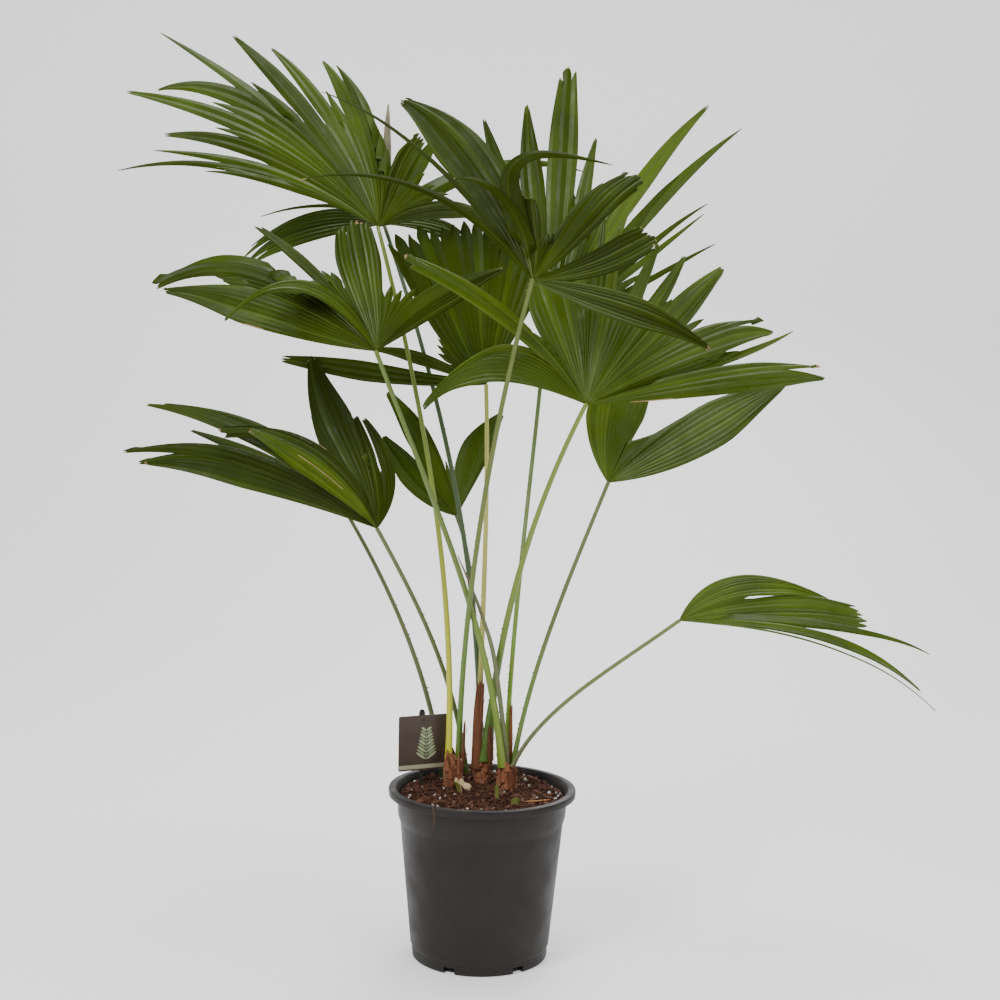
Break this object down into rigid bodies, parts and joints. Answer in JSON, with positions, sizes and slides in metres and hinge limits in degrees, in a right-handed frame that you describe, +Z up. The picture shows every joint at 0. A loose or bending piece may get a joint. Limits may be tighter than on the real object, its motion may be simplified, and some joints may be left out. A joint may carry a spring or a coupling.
{
  "type": "potted chinese fan palm",
  "caption": "Young Chinese fan palm in a round dark nursery pot: tall slender stalks rise from short fibrous stems and carry broad pleated fan fronds with split, drooping tips.",
  "frame": {"origin": "centre of the flat underside of the pot, on the floor", "axes": "+Z up, -Y towards the pictured front, +X to the right as seen from the front"},
  "size_m": [1.0164, 0.6116, 1.1379],
  "materials": {
    "pot": "satin",
    "potting_mix": "matte",
    "stem": "matte",
    "petiole": "satin",
    "leaf": "satin",
    "spear_leaf": "matte",
    "dry_sheath": "matte",
    "stub": "matte",
    "tag_card": "satin",
    "tag_stake": "satin"
  },
  "bodies": {
    "root": {"pot": "pot", "potting_mix": "potting_mix", "stem_left": "stem", "stem_middle": "stem", "stem_right": "stem", "petiole_a": "petiole", "petiole_b": "petiole", "petiole_c": "petiole", "petiole_d": "petiole", "petiole_e": "petiole", "petiole_f": "petiole", "petiole_g": "petiole", "petiole_h": "petiole", "petiole_i": "petiole", "petiole_j": "petiole", "petiole_k": "petiole", "petiole_l": "petiole", "frond_a": "leaf", "frond_b": "leaf", "frond_c": "leaf", "frond_d": "leaf", "frond_e": "leaf", "frond_f": "leaf", "frond_g": "leaf", "frond_h": "leaf", "frond_i": "leaf", "frond_j": "leaf", "frond_k": "leaf", "frond_l": "leaf", "spear_leaf": "spear_leaf", "sheath_left_inner": "dry_sheath", "sheath_left_outer": "dry_sheath", "sheath_middle_flap": "dry_sheath", "sheath_middle_tall": "dry_sheath", "sheath_right_outer": "dry_sheath", "sheath_right_tall": "dry_sheath", "stub_low": "stub", "stub_thick": "stub", "stub_thin": "stub", "tag_card": "tag_card", "tag_stake": "tag_stake"}
  },
  "joints": []
}
